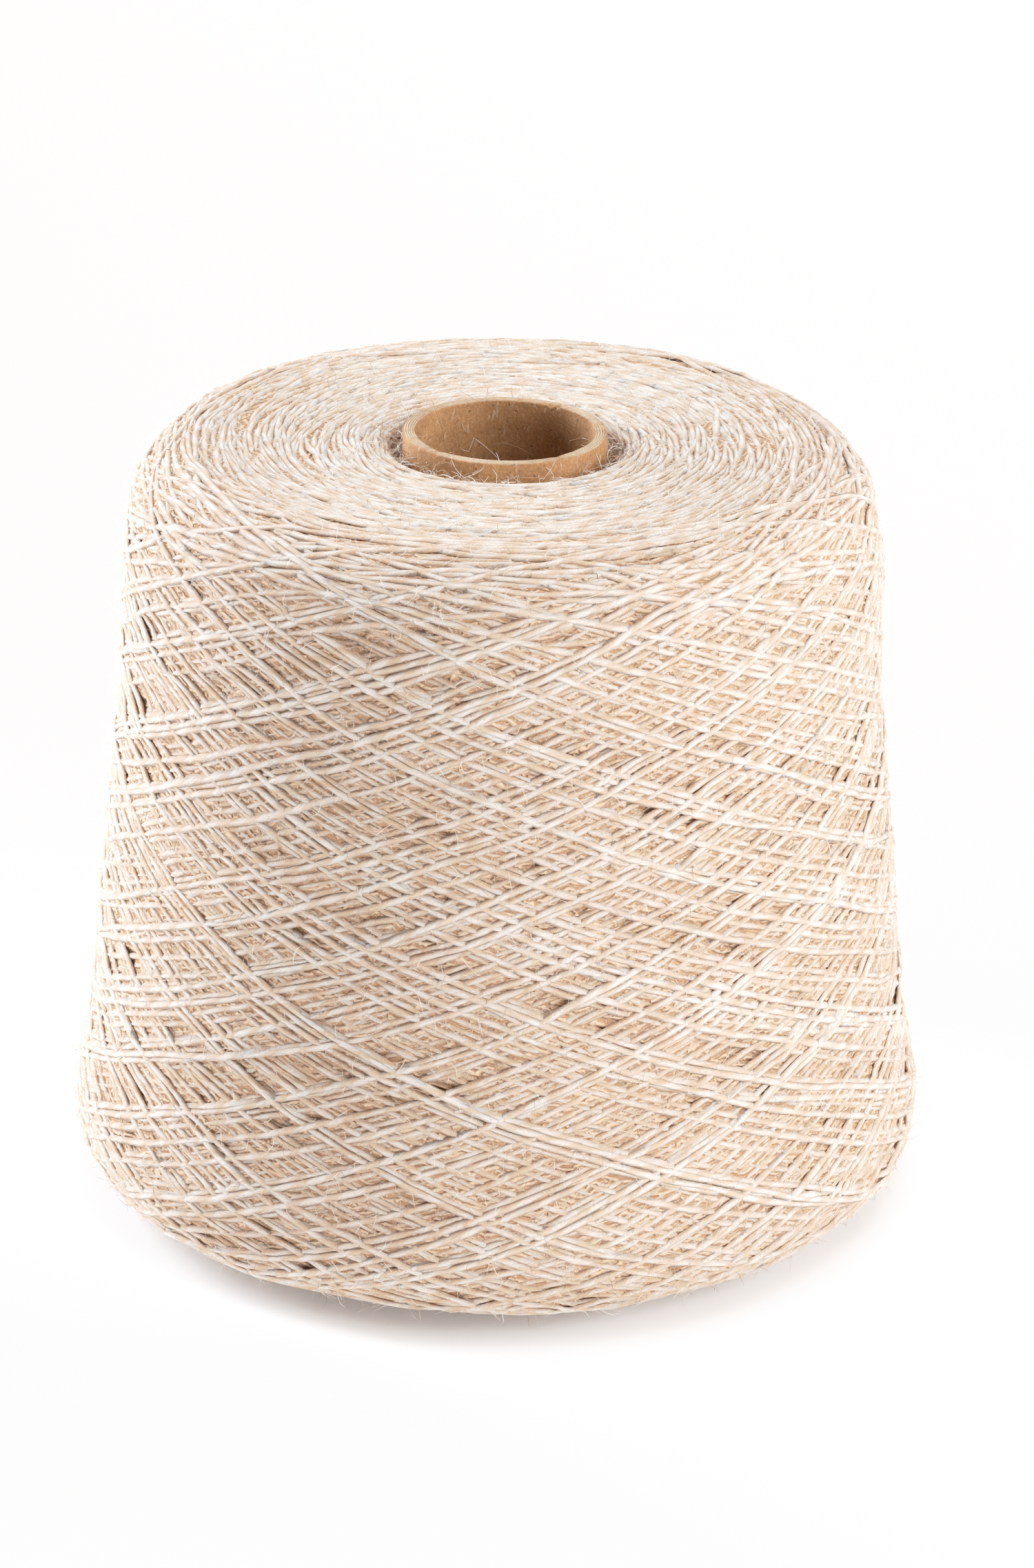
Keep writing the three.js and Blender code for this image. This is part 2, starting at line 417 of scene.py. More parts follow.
# The winding as it was laid is thicker in some places than in others. Only its relief is kept, and it is
# set so that the crests of the strokes lie on the outline.
RELIEF_ON_SIDE, RELIEF_ON_TOP = 0.32, 0.24
SIDE_STARTS, SIDE_EASE = 0.064, 0.024
LEVELLED_OVER = 0.008
CREST_PERCENTILE = 93
CREST_SOFTNESS = 0.0004


def slow_part(field, spread):
    """A Gaussian blur round the turn and along the outline."""
    mirrored = np.concatenate([field, field[::-1]])
    waves_along = np.fft.fftfreq(len(mirrored))[:, None] / CELL
    waves_round = np.fft.rfftfreq(COLUMNS)[None, :] / CELL
    damping = np.exp(-2 * (math.pi * spread) ** 2 * (waves_along**2 + waves_round**2))
    return np.fft.irfft2(np.fft.rfft2(mirrored) * damping, s=mirrored.shape)[:ROWS]


level = np.repeat(evened(heights.mean(1), 5)[:, None], COLUMNS, 1)
level += slow_part(heights - level, LEVELLED_OVER)
crest = np.percentile(heights - level, CREST_PERCENTILE, axis=1)
level += evened(crest, 12)[:, None]


def relief_at(course):
    side = np.clip((course - SIDE_STARTS) / SIDE_EASE, 0, 1)
    return RELIEF_ON_TOP + (RELIEF_ON_SIDE - RELIEF_ON_TOP) * side


def uneven_by(turn, height):
    """Slow unevenness of a winding that was pressed in a carton."""
    return (
        0.00030 * np.sin(3 * turn + 21 * height + 0.4)
        + 0.00025 * np.sin(5 * turn - 34 * height + 2.1)
        + 0.00020 * np.sin(2 * turn + 58 * height + 4.0)
    )


def placed(course, turn, proud):
    """Points at a reach along the outline and a turn about the axis, standing proud of the outline."""
    normal_r, normal_z = at_reach(NORMAL_R, course), at_reach(NORMAL_Z, course)
    height = at_reach(HEIGHT, course)
    on_side = np.clip(normal_r, 0, 1)
    proud = proud + on_side * uneven_by(turn, height)
    radius = at_reach(RADIUS, course) + normal_r * proud
    return np.stack([radius * np.cos(turn), radius * np.sin(turn), height + normal_z * proud], -1)


# Only the stretches that show, or nearly show, are made. Each is a row of points, and under its neighbours
# it dives out of sight.
SHOWS_WITHIN = 0.00015
HIDDEN_ENDS, DIVE = 0.0030, 0.0008
SHORTEST = 0.00055
POINT_SPACING = 0.0016
STRAIGHT_ENOUGH = 0.00013
DEEP_IN_THE_HOLLOWS = 0.003
SLUBS, SLUB_DEPTH, BODY_NOISE = 60, 0.08, 0.07
THINNER_WHEN_BURIED = 0.6
TINTS = 12
BANDS = {
    "top_face_turns": (0.0, 0.052),
    "upper_side_strokes": (0.052, 0.100),
    "middle_side_strokes": (0.100, 0.150),
    "lower_side_strokes": (0.150, 0.200),
    "heel_strokes": (0.200, 0.2245),
    "underside_turns": (0.2245, 1.0),
}
LAST_STROKES = 0.045


def widened(mask, by):
    sums = np.convolve(mask.astype(float), np.ones(2 * by + 1), "same")
    return sums > 0.5


def stretches_that_show():
    """Runs of points along the yarn: place, way out, length walked, body, tint, and how deep each lies."""
    draw = np.random.default_rng(SEED + 1)
    runs = {name: [] for name in (*BANDS, "last_strokes_up", "last_strokes_down")}
    for columns, course, centre, lean in lengths_laid:
        _, inside, cap, under, _ = contact(columns, course, lean)
        shows = (inside & (under - centre[:, None] - cap < SHOWS_WITHIN)).any(1)
        if not shows.any():
            continue
        step = float(np.mean(COLUMN_ANGLE * at_reach(RADIUS, course) / lean))
        kept = widened(shows, max(1, round(HIDDEN_ENDS / step)))
        edges = np.flatnonzero(np.diff(np.r_[0, kept.astype(int), 0]))

        # Crests are softened, and what is hidden sinks under its neighbours
        row = np.clip(np.round(course / CELL).astype(int), 0, ROWS - 1)
        proud = relief_at(course) * (centre + HALF_HEIGHT - level[row, columns])
        soft_crest = CREST_SOFTNESS * np.tanh(proud / CREST_SOFTNESS)
        proud = np.where(proud > 0, soft_crest, proud) - HALF_HEIGHT
        hidden_for = np.abs(np.arange(len(course))[:, None] - np.flatnonzero(shows)[None, :]).min(1) * step
        buried = np.clip(hidden_for / HIDDEN_ENDS, 0, 1) ** 1.5
        proud -= DIVE * buried
        proud = evened(proud, round(0.0007 / step))

        # The yarn is thicker and thinner along its length, and its tan ply is now darker, now paler
        count = len(course)
        at = np.arange(count)
        slubs = np.interp(at, np.linspace(0, count, SLUBS), draw.normal(0, 1, SLUBS)).clip(-2, 2)
        rough = draw.normal(0, 1, count).clip(-2, 2)
        body = (1 + SLUB_DEPTH * slubs + BODY_NOISE * rough) * (1 - THINNER_WHEN_BURIED * buried)
        tint = np.interp(at, np.linspace(0, count, TINTS), draw.uniform(0, 1, TINTS))
        places = placed(course, columns * COLUMN_ANGLE, proud) + draw.normal(0, 0.00003, (count, 3))
        walked = np.r_[0, np.cumsum(np.linalg.norm(np.diff(places, axis=0), axis=1))] + draw.uniform(0, 5)

        # Each stretch goes to the piece of its band, and the long unbroken ones are the last strokes laid
        for first, last in zip(edges[::2], edges[1::2]):
            if shows[first:last].sum() * step < SHORTEST or (last - first) < 4:
                continue
            picked = np.unique(np.r_[np.arange(first, last, max(1, round(POINT_SPACING / step))), last - 1])
            picked = thinned(picked, places)
            middle = course[(first + last) // 2]
            name = next(n for n, (low, high) in BANDS.items() if low <= middle < high)
            if walked[last - 1] - walked[first] > LAST_STROKES:
                name = "last_strokes_down" if course[last - 1] > course[first] else "last_strokes_up"
            depth = np.clip(-proud[picked] / DEEP_IN_THE_HOLLOWS, 0, 1)
            turn = columns[picked] * COLUMN_ANGLE
            out_r, out_z = at_reach(NORMAL_R, course[picked]), at_reach(NORMAL_Z, course[picked])
            outward = np.stack([out_r * np.cos(turn), out_r * np.sin(turn), out_z], -1)
            runs[name].append((places[picked], outward, walked[picked], body[picked], tint[picked], depth))
    return runs


def thinned(picked, places):
    """Drops every point that lies on the straight line between its neighbours."""
    for _ in range(2):
        if len(picked) < 5:
            return picked
        before, point, after = places[picked[:-2]], places[picked[1:-1]], places[picked[2:]]
        off = np.linalg.norm(point - (before + after) / 2, axis=1)
        drop = np.zeros(len(picked), bool)
        drop[1:-1][::2] = off[::2] < STRAIGHT_ENOUGH
        picked = picked[~drop]
    return picked


runs_that_show = stretches_that_show()


# Yarn drawn along its course. Geometry nodes put a flattened tube round each run of points, and the finish
# paints its two plies, cream and tan, with the single fibres that lie over them.
YARN_SIDES = 4
CREAM = (0.92, 0.785, 0.685, 1)
CREAM_BRIGHT = (0.97, 0.88, 0.805, 1)
TAN = (0.81, 0.53, 0.35, 1)
TAN_DEEP = (0.62, 0.375, 0.22, 1)
SHADED_BROWN = (0.50, 0.285, 0.165, 1)
NAP_SIZES = (430.0, 760.0)
SHADING_LEANS_OUT = 0.6


def yarn_finish():
    """Two plies, one cream and one tan, each a helix of soft fibres, with the groove between them."""
    yarn = Finish(
        "two-ply marled yarn",
        0.92,
        Specular_IOR_Level=0.15,
        Sheen_Weight=0.05,
        Sheen_Roughness=0.6,
        Subsurface_Weight=0.4,
        Subsurface_Radius=(1.0, 0.72, 0.5),
        Subsurface_Scale=0.0012,
    )
    run = yarn.node("ShaderNodeAttribute", {"attribute_name": "run"}, {}, 2)
    tint = yarn.node("ShaderNodeAttribute", {"attribute_name": "tint"}, {}, 2)
    depth = yarn.node("ShaderNodeAttribute", {"attribute_name": "depth"}, {}, 2)
    section = yarn.node("ShaderNodeAttribute", {"attribute_name": "section"}, {}, 1)
    across = yarn.node("ShaderNodeSeparateXYZ", {}, {0: section}, 0)
    upward = yarn.node("ShaderNodeSeparateXYZ", {}, {0: section}, 1)
    place = yarn.node("ShaderNodeTexCoord", {}, {}, 3)
    wander = yarn.node(
        "ShaderNodeTexNoise",
        {"noise_dimensions": "1D"},
        {"W": run, "Scale": 140.0, "Detail": 1.0},
    )
    angle = yarn.math("ARCTAN2", upward, across)
    turned = run * (2 * math.pi / PLY_PITCH) + angle + (wander - 0.5) * 3.5
    wave = yarn.math("SINE", turned)
    cosine = yarn.math("COSINE", turned)
    along = yarn.node("ShaderNodeCombineXYZ", {}, {0: wave, 1: cosine, 2: run * 75.0})
    streaks = yarn.noise(along, 3.6, 3, 0.65)
    hairlines = yarn.noise(along, 6.5, 2, 0.6)
    cloud = yarn.noise(place, 240, 2)
    outward = yarn.node("ShaderNodeAttribute", {"attribute_name": "outward"}, {}, 1)
    tan_ply = (wave * 0.9 + (streaks - 0.5) * 2.6 + (cloud - 0.5) * 0.7).between(-0.35, 0.5)
    cream = yarn.mix(streaks.between(0.32, 0.62), CREAM, CREAM_BRIGHT)
    tan = yarn.mix(hairlines.between(0.36, 0.6), TAN_DEEP, TAN)
    tan = yarn.mix(tint * 0.35, tan, CREAM)
    colour = yarn.mix(tan_ply * 0.8, cream, tan)
    colour = yarn.mix((0.45 - streaks).between(0.0, 0.14) * 0.4, colour, TAN_DEEP)
    colour = yarn.mix((0.44 - hairlines).between(0.0, 0.1) * 0.4, colour, CREAM_BRIGHT)
    colour = yarn.mix(hairlines.between(0.55, 0.66) * 0.5, colour, TAN_DEEP)

    # Nap: curled single fibres that lie over the yarns and cross between them, thickest in the hollows
    nap = []
    for size in NAP_SIZES:
        level_line = yarn.math("ABSOLUTE", yarn.noise(place, size, 1) - 0.5)
        nap.append(1.0 - level_line.between(0.003, 0.016))
    # Painted shade: the sides of each yarn, and yarn that lies deep in the hollows, are mixed towards a
    # shaded brown
    side = (1.0 - across).between(0.25, 1.0)
    colour = yarn.mix(side * 0.22 + depth, colour, SHADED_BROWN)
    colour = yarn.mix(nap[0] * (0.2 + depth * 0.5), colour, TAN_DEEP)
    colour = yarn.mix(nap[1] * (0.15 + depth * 0.5), colour, CREAM_BRIGHT)
    yarn.feed("Base Color", colour)
    groove = yarn.math("ABSOLUTE", cosine)

    # The nap softens the round of the yarn, so its shading leans towards that of the whole winding
    round_of_yarn = yarn.node("ShaderNodeNewGeometry", {}, {}, 1)
    lean = {0: SHADING_LEANS_OUT, 4: round_of_yarn, 5: outward}
    leaning = yarn.node("ShaderNodeMix", {"data_type": "VECTOR"}, lean, 1)
    leaning = yarn.node("ShaderNodeVectorMath", {"operation": "NORMALIZE"}, {0: leaning})
    relief = groove * -0.5 + streaks * 0.8 + hairlines * 0.6 + nap[0] * 0.4 + nap[1] * 0.3
    bump = {"Height": relief, "Distance": 0.00022, "Strength": 0.8, "Normal": leaning}
    yarn.feed("Normal", yarn.node("ShaderNodeBump", {}, bump))
    return yarn.material


def yarn_along_its_course():
    """Geometry nodes: rows of joined points become tubes, as thick as each point says."""
    tree = bpy.data.node_groups.new("yarn_along_its_course", "GeometryNodeTree")
    sockets = {}
    wanted = {
        "Course": "Geometry",
        "Thickness": "Float",
        "Flatness": "Float",
        "Sides": "Int",
        "Finish": "Material",
    }
    for name, kind in wanted.items():
        made = tree.interface.new_socket(name, in_out="INPUT", socket_type="NodeSocket" + kind)
        sockets[name] = made.identifier
    tree.interface.new_socket("Yarn", in_out="OUTPUT", socket_type="NodeSocketGeometry")
    start, end = tree.nodes.new("NodeGroupInput"), tree.nodes.new("NodeGroupOutput")

    def node(kind, settings=None, inputs=None):
        made = tree.nodes.new(kind)
        for name, value in (settings or {}).items():
            setattr(made, name, value)
        for key, value in (inputs or {}).items():
            if isinstance(value, bpy.types.NodeSocket):
                tree.links.new(value, made.inputs[key])
            else:
                made.inputs[key].default_value = value
        return made

    course = node("GeometryNodeMeshToCurve", {}, {"Mesh": start.outputs["Course"]})
    outward = node("GeometryNodeInputNamedAttribute", {"data_type": "FLOAT_VECTOR"}, {"Name": "outward"})
    course = node(
        "GeometryNodeSetCurveNormal",
        {"mode": "FREE"},
        {"Curve": course.outputs[0], "Normal": outward.outputs["Attribute"]},
    )
    body = node("GeometryNodeInputNamedAttribute", {"data_type": "FLOAT"}, {"Name": "body"})
    half = node("ShaderNodeMath", {"operation": "MULTIPLY"}, {0: start.outputs["Thickness"], 1: 0.5})
    size = node(
        "ShaderNodeMath",
        {"operation": "MULTIPLY"},
        {0: half.outputs[0], 1: body.outputs["Attribute"]},
    )
    ring = node(
        "GeometryNodeCurvePrimitiveCircle",
        {"mode": "RADIUS"},
        {"Resolution": start.outputs["Sides"], "Radius": 1.0},
    )
    place = node("GeometryNodeInputPosition")
    ring = node(
        "GeometryNodeStoreNamedAttribute",
        {"data_type": "FLOAT_VECTOR", "domain": "POINT"},
        {"Geometry": ring.outputs["Curve"], "Name": "section", "Value": place.outputs[0]},
    )
    flatness = node("ShaderNodeCombineXYZ", {}, {0: start.outputs["Flatness"], 1: 1.0, 2: 1.0})
    ring = node("GeometryNodeTransform", {}, {"Geometry": ring.outputs[0], "Scale": flatness.outputs[0]})
    tube = node(
        "GeometryNodeCurveToMesh",
        {},
        {
            "Curve": course.outputs[0],
            "Profile Curve": ring.outputs[0],
            "Scale": size.outputs[0],
            "Fill Caps": True,
        },
    )
    smooth = node("GeometryNodeSetShadeSmooth", {}, {"Geometry": tube.outputs[0], "Shade Smooth": True})
    joined = node("GeometryNodeRealizeInstances", {}, {"Geometry": smooth.outputs[0]})
    finished = node(
        "GeometryNodeSetMaterial",
        {},
        {"Geometry": joined.outputs[0], "Material": start.outputs["Finish"]},
    )
    tree.links.new(finished.outputs[0], end.inputs[0])
    return tree, sockets


YARN_TREE, YARN_SOCKETS = yarn_along_its_course()
MARLED = yarn_finish()


def drawn(name, runs, thickness, flatness, sides, finish):
    """One piece of yarn tubes from its runs of points."""
    places = np.concatenate([run[0] for run in runs])
    ends = np.cumsum([len(run[0]) for run in runs])
    links = np.stack([np.arange(len(places) - 1), np.arange(1, len(places))], 1)
    links = np.delete(links, ends[:-1] - 1, axis=0)
    mesh = bpy.data.meshes.new(name)
    mesh.from_pydata(places.tolist(), links.tolist(), [])
    outward = np.concatenate([run[1] for run in runs]).astype(np.float32)
    mesh.attributes.new("outward", "FLOAT_VECTOR", "POINT").data.foreach_set("vector", outward.ravel())
    for index, attribute in enumerate(("run", "body", "tint", "depth")):
        values = np.concatenate([run[index + 2] for run in runs]).astype(np.float32)
        mesh.attributes.new(attribute, "FLOAT", "POINT").data.foreach_set("value", values)
    piece = bpy.data.objects.new(name, mesh)
    bpy.context.collection.objects.link(piece)
    maker = piece.modifiers.new("yarn", "NODES")
    maker.node_group = YARN_TREE
    maker[YARN_SOCKETS["Thickness"]] = thickness
    maker[YARN_SOCKETS["Flatness"]] = flatness
    maker[YARN_SOCKETS["Sides"]] = sides
    maker[YARN_SOCKETS["Finish"]] = finish
    graph = bpy.context.evaluated_depsgraph_get()
    evaluated = piece.evaluated_get(graph)
    made = bpy.data.meshes.new_from_object(evaluated, preserve_all_data_layers=True, depsgraph=graph)
    piece.modifiers.remove(maker)
    piece.data = made
    made.name = name
    bpy.data.meshes.remove(mesh)
    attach(piece, "root")
    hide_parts("yarn_winding")
    return piece


for name, runs in runs_that_show.items():
    drawn(name, runs, YARN_THICKNESS, FLATTENED, YARN_SIDES, MARLED)


# Loose fibres. Carded wool leaves ends of fibre all over the yarn: most lie curled in the hollows, some
# stand off the surface, and longer curls are caught in the trough round the nose of the paper cone.
FIBRE_THICKNESS = 0.00011
LOW_FIBRES, STANDING_FIBRES, CURLS, STRAYS = 14000, 6500, 520, 7
LOWEST_FIBRE, HIGHEST_FIBRE = 0.0003, CONE_LENGTH + 0.0015
FIBRE_PALE = (0.93, 0.86, 0.77, 1)
FIBRE_TAN = (0.42, 0.25, 0.14, 1)


def fibre_finish():
    """Single fibres of wool, some cream and some tan."""
    fibre = Finish("loose wool fibre", 0.7, Specular_IOR_Level=0.3, Sheen_Weight=0.2)
    tint = fibre.node("ShaderNodeAttribute", {"attribute_name": "tint"}, {}, 2)
    run = fibre.node("ShaderNodeAttribute", {"attribute_name": "run"}, {}, 2)
    mottle = fibre.node("ShaderNodeTexNoise", {"noise_dimensions": "1D"}, {"W": run, "Scale": 900.0})
    tan_share = (tint + (mottle - 0.5) * 0.5).between(0.35, 0.8)
    fibre.feed("Base Color", fibre.mix(tan_share, FIBRE_PALE, FIBRE_TAN))
    fibre.feed("Roughness", 0.6 + mottle * 0.2)
    return fibre.material


def curled_fibres(draw, roots, outward, forward, lengths, lift, curl, points):
    """Fibres from their roots, each an arc that also winds a little, thinner at both ends."""
    count = len(roots)
    sideways = np.cross(outward, forward)
    swing = draw.uniform(0, 2 * math.pi, count)[:, None]
    heading = np.cos(swing) * forward + np.sin(swing) * sideways * 0.8 + lift[:, None] * outward
    heading /= np.linalg.norm(heading, axis=1)[:, None]
    axis = draw.normal(0, 1, (count, 3))
    axis -= (axis * heading).sum(1)[:, None] * heading
    axis /= np.linalg.norm(axis, axis=1)[:, None]
    bend = draw.normal(0, curl, count)[:, None]
    place, runs = roots.copy(), [roots.copy()]
    for _ in range(points - 1):
        place = place + heading * (lengths / (points - 1))[:, None]
        runs.append(place.copy())
        turned = heading * np.cos(bend) + np.cross(axis, heading) * np.sin(bend)
        heading = turned / np.linalg.norm(turned, axis=1)[:, None]
        axis = axis + draw.normal(0, 0.35, (count, 3))
        axis -= (axis * heading).sum(1)[:, None] * heading
        axis /= np.linalg.norm(axis, axis=1)[:, None]
    places = np.stack(runs, 1)
    places[:, :, 2] = places[:, :, 2].clip(LOWEST_FIBRE, HIGHEST_FIBRE)
    taper = np.array([0.6] + [1.0] * (points - 2) + [0.45])
    body = taper[None, :] * draw.uniform(0.7, 1.2, count)[:, None]
    tint = np.repeat(draw.uniform(0, 1, count)[:, None], points, 1)
    walked = draw.uniform(0, 5, count)[:, None] + np.arange(points)[None, :] * (lengths / points)[:, None]
    normal = np.repeat(outward[:, None, :], points, 1)
    zero = np.zeros(points)
    return [(places[i], normal[i], walked[i], body[i], tint[i], zero) for i in range(count)]


def fibre_roots(draw, count, in_hollows):
    """Places all over the yarn that shows, with the way out and the way along the yarn there."""
    runs = [run for group in runs_that_show.values() for run in group]
    places = np.concatenate([run[0][:-1] for run in runs])
    normals = np.concatenate([run[1][:-1] for run in runs])
    steps = np.concatenate([np.diff(run[0], axis=0) for run in runs])
    length = np.linalg.norm(steps, axis=1)
    depths = np.concatenate([run[5][:-1] for run in runs])
    chance = length * (1 - in_hollows + in_hollows * np.clip(depths * 3 - 0.3, 0, 1))
    picked = draw.choice(len(places), count, p=chance / chance.sum())
    forward = steps[picked] / length[picked, None]
    out = normals[picked] / np.linalg.norm(normals[picked], axis=1)[:, None]
    side = np.cross(out, forward)
    root = places[picked] + steps[picked] * draw.uniform(0, 1, count)[:, None]
    root = root + out * HALF_HEIGHT * 0.8 + side * draw.uniform(-HALF, HALF, count)[:, None] * 0.8
    return root, out, forward


fibre_draw = np.random.default_rng(SEED + 2)
FIBRE = fibre_finish()
root, out, forward = fibre_roots(fibre_draw, LOW_FIBRES, 0.95)
lengths = fibre_draw.uniform(0.0015, 0.0050, len(root))
lift = fibre_draw.normal(0.05, 0.22, len(root))
low_fibres = curled_fibres(fibre_draw, root, out, forward, lengths, lift, 0.7, 3)
drawn("fibres_in_the_hollows", low_fibres, FIBRE_THICKNESS, 1.0, 3, FIBRE)
root, out, forward = fibre_roots(fibre_draw, STANDING_FIBRES, 0.0)
lengths = fibre_draw.uniform(0.0018, 0.0060, len(root))
lift = np.abs(fibre_draw.normal(0.35, 0.5, len(root)))
standing_fibres = curled_fibres(fibre_draw, root, out, forward, lengths, lift, 0.6, 4)
drawn("fibres_standing_off", standing_fibres, FIBRE_THICKNESS * 0.85, 1.0, 3, FIBRE)


def trough_curls(draw, count):
    """Curls between the nose of the paper cone and the first turns."""
    turn = draw.uniform(0, 2 * math.pi, count)
    beside = np.array([math.radians(188), math.radians(-8), math.radians(250)])
    crowded = draw.uniform(0, 1, count) < 0.65
    turn = np.where(crowded, draw.choice(beside, count) + draw.normal(0, 0.3, count), turn)
    radius = 0.0212 + np.abs(draw.normal(0.0022, 0.0016, count))
    height = 0.1632 + draw.uniform(-0.0025, 0.0022, count)
    root = np.stack([radius * np.cos(turn), radius * np.sin(turn), height], -1)
    round_about = np.stack([-np.sin(turn), np.cos(turn), 0 * turn], -1)
    outward = np.stack([0 * turn, 0 * turn, 1 + 0 * turn], -1)
    lengths = draw.uniform(0.003, 0.009, count)
    lift = np.abs(draw.normal(0.05, 0.35, count))
    return curled_fibres(draw, root, outward, round_about, lengths, lift, 0.55, 7)


def strays_inside(draw, count):
    """Long fibres that cling to the inside of the paper cone at the back."""
    runs = []
    at = np.linspace(0, 1, 16)
    for _ in range(count):
        sway = np.sin(at * draw.uniform(2, 7) + draw.uniform(0, 6))
        turn = math.radians(draw.uniform(65, 140)) + draw.normal(0, 0.3) * at + 0.1 * sway
        height = draw.uniform(0.148, 0.160) + draw.normal(0, 0.006) * at + 0.002 * np.roll(sway, 3)
        radius = wall_radius(height) - CARD_THICKNESS - 0.0004 - 0.0012 * np.sin(math.pi * at)
        places = np.stack([radius * np.cos(turn), radius * np.sin(turn), height], -1)
        outward = -np.stack([np.cos(turn), np.sin(turn), 0 * turn], -1)
        tint = np.full(len(at), draw.uniform(0.3, 1))
        runs.append((places, outward, at * 0.02, np.ones(len(at)), tint, np.zeros(len(at))))
    return runs


curls = [(*run[:4], 0.35 + 0.65 * run[4], run[5]) for run in trough_curls(fibre_draw, CURLS)]
curls += strays_inside(fibre_draw, STRAYS)
drawn("curls_in_the_trough", curls, FIBRE_THICKNESS, 1.0, 3, FIBRE)


# The layers under the strokes. In the real cone they are more turns of the same yarn, matted by loose fibre.
# Here one closed body lies just under what shows, so that no light comes through the gaps.
BODY_ROWS, BODY_COLUMNS = 8, 8
LOW_PERCENTILE = 20
HIGHEST, DEEPEST_ON_TOP, DEEPEST_ON_SIDE = -0.0005, -0.0015, -0.0020
UNDER_BY = 0.0003
INNER_BORE_CLEARANCE = 0.00035
INNER_YARNS_UP, INNER_YARNS_ROUND = 3093.0, 97.0


def inner_layers():
    """The lowest wound height in each small patch, turned into a closed net that goes back up the bore."""
    rows, columns = ROWS // BODY_ROWS * BODY_ROWS, COLUMNS
    relief = (relief_at(REACH)[:, None] * (heights - level))[:rows]
    patches = relief.reshape(rows // BODY_ROWS, BODY_ROWS, columns // BODY_COLUMNS, BODY_COLUMNS)
    low = np.percentile(patches, LOW_PERCENTILE, axis=(1, 3))
    course = (np.arange(rows // BODY_ROWS) + 0.5) * BODY_ROWS * CELL
    deepest = np.interp(course, (0.046, 0.060), (DEEPEST_ON_TOP, DEEPEST_ON_SIDE))
    low = np.clip(low, deepest[:, None], HIGHEST) - UNDER_BY
    turn = (np.arange(columns // BODY_COLUMNS) + 0.5) * BODY_COLUMNS * COLUMN_ANGLE
    rings = [placed(np.full(len(turn), at), turn, proud) for at, proud in zip(course, low)]
    for height in np.linspace(UNDERSIDE_AT_BORE + 0.001, TROUGH_BOTTOM - 0.001, 8):
        radius = wall_radius(height) + INNER_BORE_CLEARANCE
        z = np.full(len(turn), height)
        rings.append(np.stack([radius * np.cos(turn), radius * np.sin(turn), z], -1))
    points = np.concatenate(rings)
    faces = []
    around = len(turn)
    for ring in range(len(rings)):
        after = (ring + 1) % len(rings)
        for at in range(around):
            beside = (at + 1) % around
            a, b = ring * around + at, after * around + at
            c, d = after * around + beside, ring * around + beside
            faces.append((a, b, c, d))
    mesh = bpy.data.meshes.new("inner_layers")
    mesh.from_pydata(points.tolist(), [], faces)
    mesh.polygons.foreach_set("use_smooth", np.ones(len(faces), bool))
    layers = bpy.data.objects.new("inner_layers", mesh)
    bpy.context.collection.objects.link(layers)
    return layers


def inner_finish():
    """The yarn seen deep in the gaps in painted shade, shaded brown to tan, matted over by pale fibres that
    curl in all directions.
    """
    deep = Finish("painted shade and matted fibres in the hollows", 0.95, Specular_IOR_Level=0.1)
    place = deep.node("ShaderNodeTexCoord", {}, {}, 3)
    x, y, z = (deep.node("ShaderNodeSeparateXYZ", {}, {0: place}, axis) for axis in range(3))
    radius = deep.math("SQRT", x * x + y * y)
    turn = deep.math("ARCTAN2", y, x)
    clouds = deep.noise(place, 260, 2, 0.6)
    wander = deep.noise(place, 190, 2, 0.6) * 9.0
    climb, slope = (z - radius) * INNER_YARNS_UP, turn * INNER_YARNS_ROUND
    rising = deep.math("SINE", climb + slope + wander)
    falling = deep.math("SINE", climb - slope + wander)
    over = clouds.between(0.46, 0.54)
    yarns = rising * over + falling * (1.0 - over)
    streaks = deep.noise(place, 900, 3, 0.65)
    hair = 1.0 - deep.math("ABSOLUTE", deep.noise(place, 800, 1) - 0.5).between(0.004, 0.03)
    # Painted shade: the yarn deep in the gaps runs from a shaded brown to tan, darker than the yarn that
    # shows
    colour = deep.mix((yarns + (streaks - 0.5) * 1.6).between(-0.5, 0.8), SHADED_BROWN, TAN)
    colour = deep.mix(streaks.between(0.55, 0.75) * 0.6, colour, CREAM)
    deep.feed("Base Color", deep.mix(hair * 0.35, colour, CREAM))
    deep.feed("Normal", deep.bump(yarns * 0.5 + streaks * 0.3 + hair * 0.1, 0.0007))
    return deep.material


inner = inner_layers()
inner.data.materials.append(inner_finish())
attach(inner, "root")
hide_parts("yarn_winding")


# A plain pale floor with a low pale wall far off all round. Two soft boxes stand at the right and one at
# the left, a little behind, and one hangs overhead. The floor gives off a little light, more of it far off.
FLOOR_RADIUS, FLOOR_SIDES, WALL_HEIGHT = 9.0, 64, 1.0
GLOW_NEAR, GLOW_FAR = (0.13, 0.13, 0.13, 1), (0.5, 0.5, 0.5, 1)
WHITE_LIGHT, COOL_LIGHT, COOLEST_LIGHT = (0.96, 0.98, 1.0), (0.92, 0.96, 1.0), (0.87, 0.93, 1.0)
WORLD_COLOUR, WORLD_STRENGTH = (1.0, 0.93, 0.87, 1), 0.03
LIGHT_AT_WHITE = 1.8
RESPONSE = ((0.4, 0.4), (0.63, 0.615), (0.82, 0.74), (1.05, 0.865), (1.25, 0.96), (1.42, 1.0))


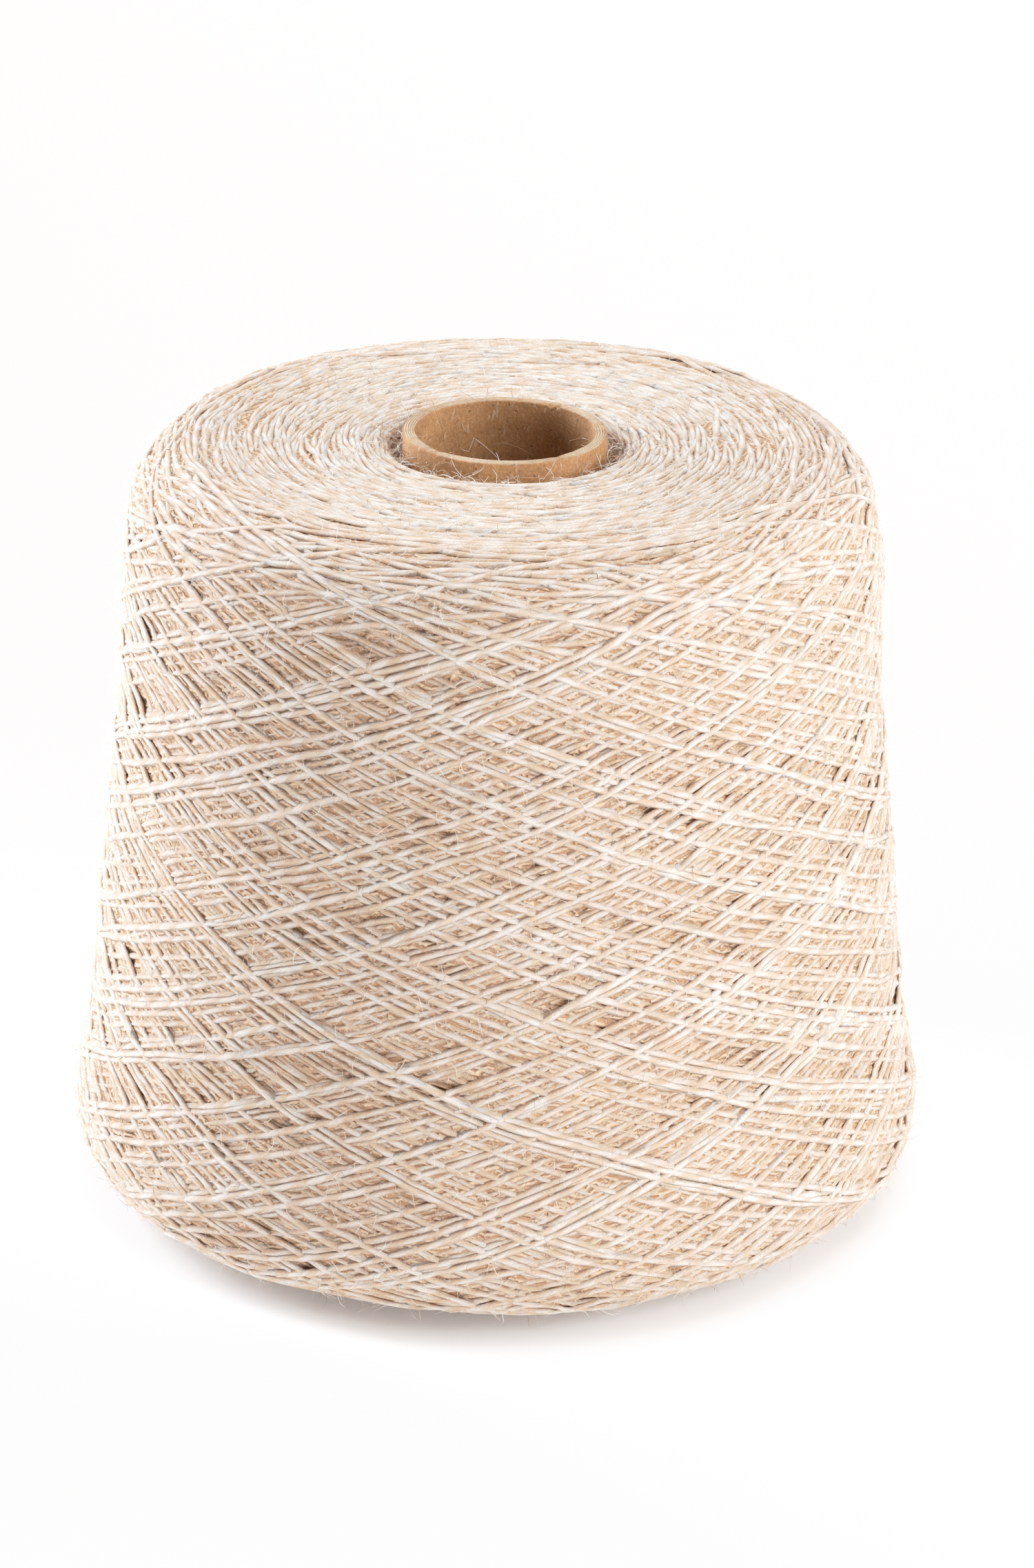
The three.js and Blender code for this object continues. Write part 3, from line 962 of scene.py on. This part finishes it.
def floor_and_light():
    turn = np.linspace(0, 2 * math.pi, FLOOR_SIDES, endpoint=False)
    ring = np.stack([FLOOR_RADIUS * np.cos(turn), FLOOR_RADIUS * np.sin(turn), 0 * turn], -1)
    corners = ring.tolist() + (ring + np.array([0, 0, WALL_HEIGHT])).tolist()
    sides = range(FLOOR_SIDES)
    wall = [(a, a + FLOOR_SIDES, (a + 1) % FLOOR_SIDES + FLOOR_SIDES, (a + 1) % FLOOR_SIDES) for a in sides]
    floor_mesh = bpy.data.meshes.new("floor")
    floor_mesh.from_pydata(corners, [], [tuple(sides)] + wall)
    floor = bpy.data.objects.new("floor", floor_mesh)
    bpy.context.collection.objects.link(floor)
    white = Finish(
        "white floor",
        0.9,
        Specular_IOR_Level=0.0,
        Base_Color=(0.97, 0.97, 0.97, 1),
        Emission_Strength=1.0,
    )
    place = white.node("ShaderNodeTexCoord", {}, {}, 3)
    away = white.node("ShaderNodeVectorMath", {"operation": "LENGTH"}, {0: place}, 1).between(1.2, 3.2)
    white.feed("Emission Color", white.mix(away, GLOW_NEAR, GLOW_FAR))
    floor_mesh.materials.append(white.material)

    def soft_box(name, place, aim, size, power, colour):
        lamp = bpy.data.lights.new(name, "AREA")
        lamp.shape = "RECTANGLE"
        lamp.size, lamp.size_y = size
        lamp.energy, lamp.color = power, colour
        box = bpy.data.objects.new(name, lamp)
        box.location = place
        box.rotation_euler = (Vector(aim) - Vector(place)).to_track_quat("-Z", "Y").to_euler()
        bpy.context.collection.objects.link(box)

    soft_box("right_box", (2.02, -0.80, 1.0), (0, 0, 0.08), (1.6, 1.8), 53, WHITE_LIGHT)
    soft_box("front_right_box", (1.66, -1.54, 1.15), (0, 0, 0.08), (1.2, 1.4), 31, WHITE_LIGHT)
    soft_box("left_box", (-1.75, 0.85, 0.75), (0, 0, 0.08), (1.2, 1.5), 117, COOLEST_LIGHT)
    soft_box("overhead_box", (0.4, -0.3, 2.15), (0, 0, 0.15), (1.6, 1.6), 34, COOL_LIGHT)
    world = bpy.data.worlds.new("studio")
    world.use_nodes = True
    sky = world.node_tree.nodes["Background"]
    sky.inputs["Color"].default_value = WORLD_COLOUR
    sky.inputs["Strength"].default_value = WORLD_STRENGTH
    bpy.context.scene.world = world

    # The camera's response: even up to the mid tones, then a soft shoulder up to white
    view = bpy.context.scene.view_settings
    view.view_transform = "Standard"
    view.use_curve_mapping = True
    response = view.curve_mapping
    response.white_level = (LIGHT_AT_WHITE,) * 3
    points = response.curves[3].points
    for light, shown in RESPONSE:
        points.new(light / LIGHT_AT_WHITE, shown)
    response.update()


floor_and_light()


# The camera, at the height and distance the photograph was taken from. Its place, tilt and lens are fitted
# to the outline of the yarn and to the ellipse of the paper cone's rim.
CAMERA_PLACE = (0, -1.2794, 0.6216)
PITCH, YAW, ROLL = math.radians(22.62), math.radians(0.17), math.radians(1.08)
SENSOR = 36
FOCAL_LENGTH_TO_FRAME_HEIGHT = 9500 / 2275


def camera():
    ahead = math.cos(PITCH)
    forward = Vector((math.sin(YAW) * ahead, math.cos(YAW) * ahead, -math.sin(PITCH)))
    right = forward.cross(Vector((0, 0, 1))).normalized()
    up = right.cross(forward)
    turned_right = math.cos(ROLL) * right + math.sin(ROLL) * up
    turned_up = -math.sin(ROLL) * right + math.cos(ROLL) * up
    lens = bpy.data.cameras.new("camera")
    lens.lens = SENSOR * FOCAL_LENGTH_TO_FRAME_HEIGHT
    lens.sensor_width = SENSOR
    lens.clip_start, lens.clip_end = 0.05, 50
    eye = bpy.data.objects.new("camera", lens)
    axes = Matrix((turned_right, turned_up, -forward)).transposed()
    eye.matrix_world = Matrix.Translation(CAMERA_PLACE) @ axes.to_4x4()
    bpy.context.collection.objects.link(eye)
    bpy.context.scene.camera = eye


camera()
